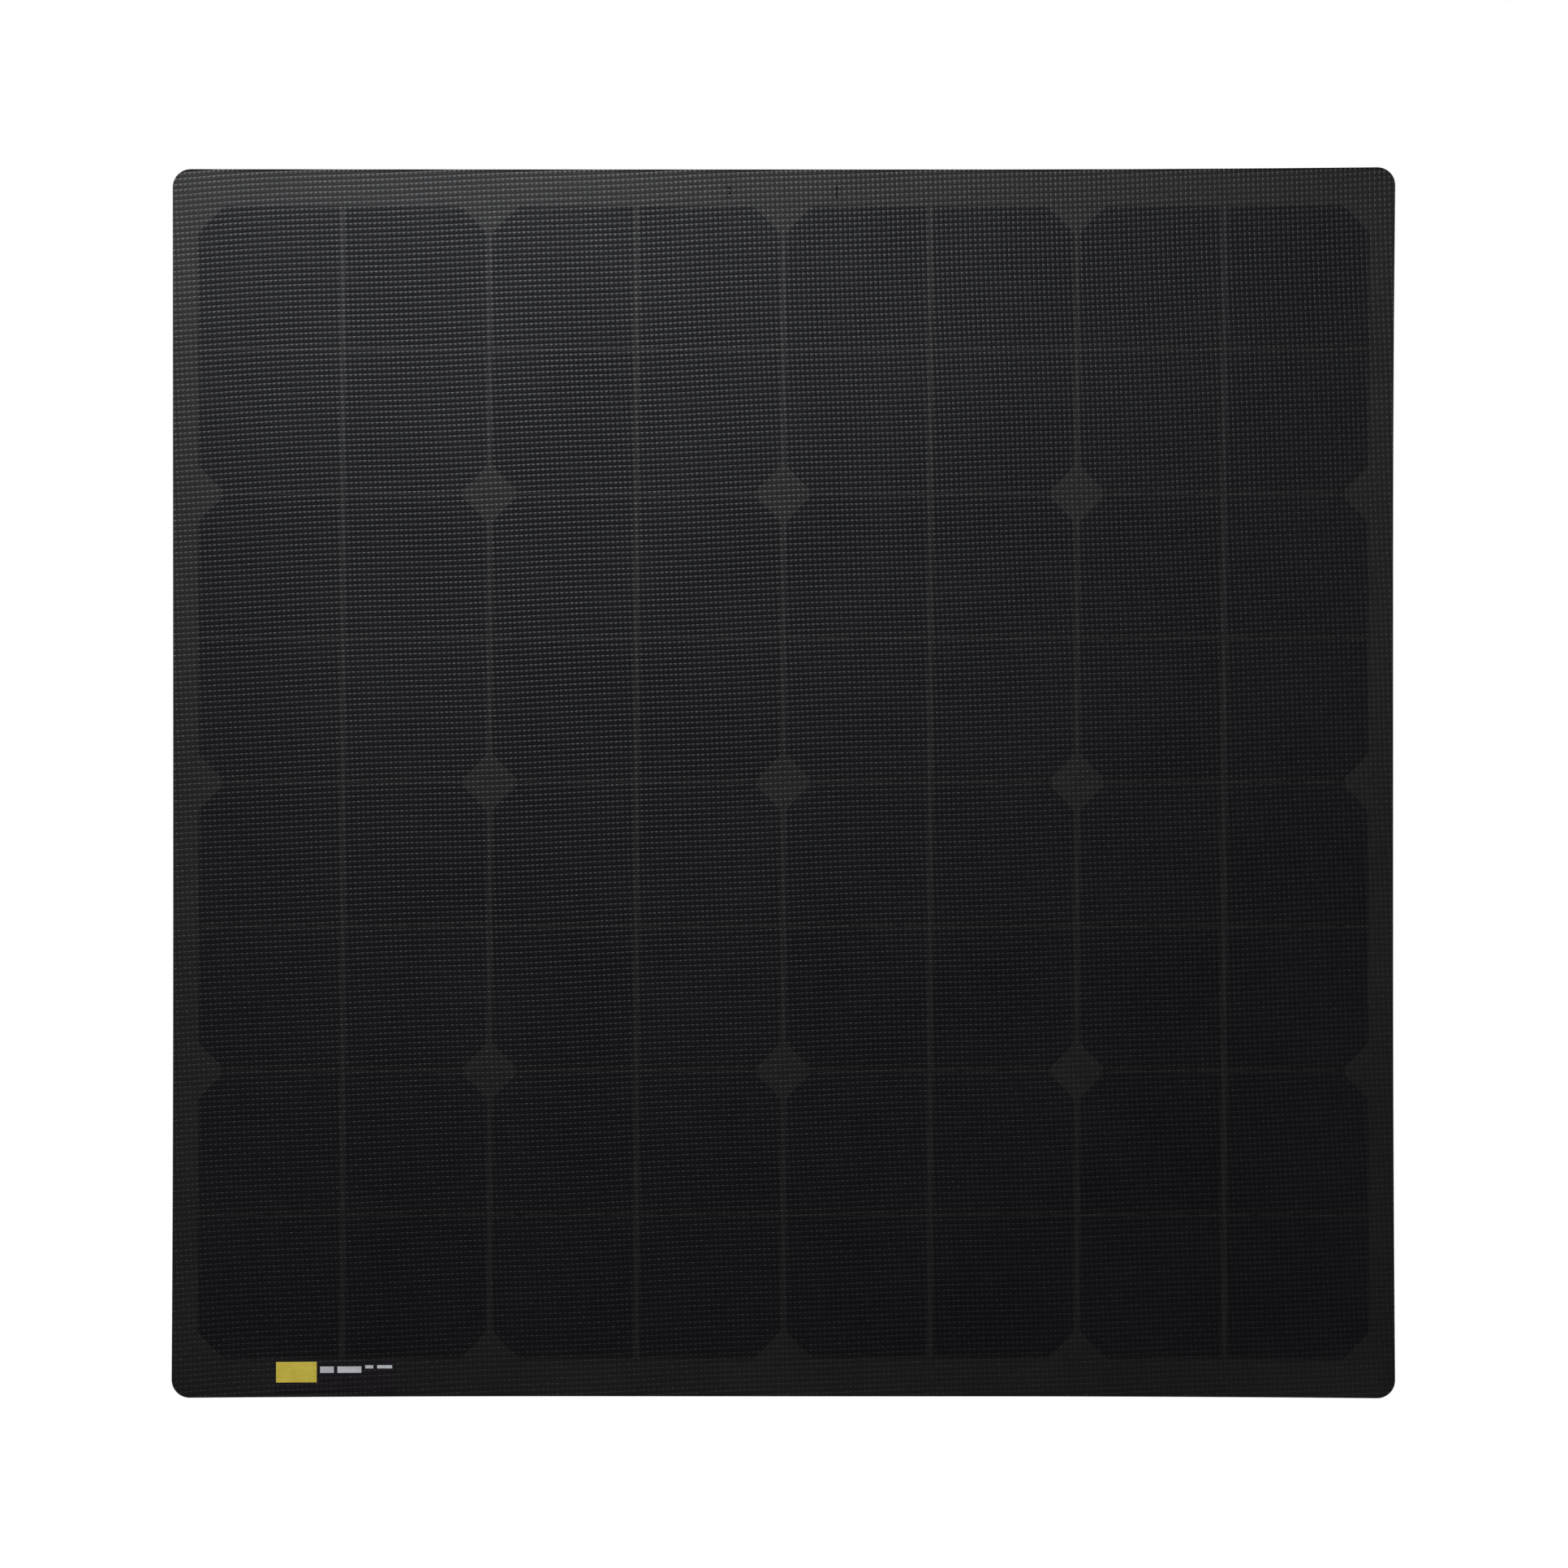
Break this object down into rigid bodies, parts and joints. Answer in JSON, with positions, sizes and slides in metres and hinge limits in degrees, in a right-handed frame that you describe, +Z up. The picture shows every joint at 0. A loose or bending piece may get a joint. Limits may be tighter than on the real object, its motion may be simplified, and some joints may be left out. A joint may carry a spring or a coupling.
{
  "type": "flexible solar panel",
  "caption": "Thin semi-flexible solar panel with an embossed front sheet over dark quarter-cut cells, bonded by its rear face, with a lidded junction box on the back.",
  "frame": {"origin": "centre of the rear bonding face", "axes": "+Z up towards the top edge, where the junction box is; +Y out of the rear bonding face; the cells face -Y; +X to the right seen from the front"},
  "size_m": [0.537, 0.0174, 0.54],
  "materials": {
    "clear_sheet": "satin",
    "clear_encapsulant": "satin",
    "silicon": "satin",
    "black_tab": "matte",
    "black_encapsulant": "matte",
    "fibreglass": "satin",
    "tinned_ribbon": "satin",
    "label": "satin",
    "sealant": "matte",
    "box_plastic": "satin",
    "seal_rubber": "matte",
    "potting": "satin",
    "copper": "satin",
    "diode": "satin"
  },
  "bodies": {
    "lower_strip": {"back_laminate_lower": "fibreglass", "rear_encapsulant_lower": "black_encapsulant", "cell_tabs_lower": "black_tab", "cells_lower": "silicon", "front_encapsulant_lower": "clear_encapsulant", "front_sheet_lower": "clear_sheet"},
    "upper_strip": {"back_laminate_upper": "fibreglass", "rear_encapsulant_upper": "black_encapsulant", "cell_tabs_upper": "black_tab", "cells_upper": "silicon", "front_encapsulant_upper": "clear_encapsulant", "front_sheet_upper": "clear_sheet"},
    "top_strip": {"back_laminate_top": "fibreglass", "rear_encapsulant_top": "black_encapsulant", "cell_tabs_top": "black_tab", "cells_top": "silicon", "front_encapsulant_top": "clear_encapsulant", "front_sheet_top": "clear_sheet", "top_bus_ribbons": "tinned_ribbon", "lead_ribbon_positive": "tinned_ribbon", "lead_ribbon_middle": "tinned_ribbon", "lead_ribbon_negative": "tinned_ribbon", "box_adhesive_pad": "sealant", "box_base": "box_plastic", "lid_gasket": "seal_rubber", "box_potting": "potting", "terminal_positive": "copper", "terminal_middle": "copper", "terminal_negative": "copper", "bypass_diode_left": "diode", "bypass_diode_right": "diode", "gland_seal_left": "seal_rubber", "gland_seal_right": "seal_rubber", "gland_nut_left": "box_plastic", "gland_nut_right": "box_plastic"},
    "bottom_strip": {"back_laminate_bottom": "fibreglass", "rear_encapsulant_bottom": "black_encapsulant", "cell_tabs_bottom": "black_tab", "cells_bottom": "silicon", "front_encapsulant_bottom": "clear_encapsulant", "front_sheet_bottom": "clear_sheet", "bottom_bus_ribbons": "tinned_ribbon", "label_film": "label"},
    "lid": {"box_lid": "box_plastic"}
  },
  "joints": [
    {"name": "bend_middle", "type": "hinge", "parent": "lower_strip", "child": "upper_strip", "pos_m": [0, 0, 0.0005], "axis": [-1, 0, 0], "range_deg": [0, 10], "stiffness_Nm_per_rad": 55},
    {"name": "bend_top", "type": "hinge", "parent": "upper_strip", "child": "top_strip", "pos_m": [0, 0, 0.1275], "axis": [-1, 0, 0], "range_deg": [0, 10], "stiffness_Nm_per_rad": 55},
    {"name": "bend_bottom", "type": "hinge", "parent": "lower_strip", "child": "bottom_strip", "pos_m": [0, 0, -0.1265], "axis": [1, 0, 0], "range_deg": [0, 10], "stiffness_Nm_per_rad": 55},
    {"name": "lid_pull", "type": "slide", "parent": "top_strip", "child": "lid", "axis": [0, 1, 0], "range_m": [0, 0.015]}
  ]
}
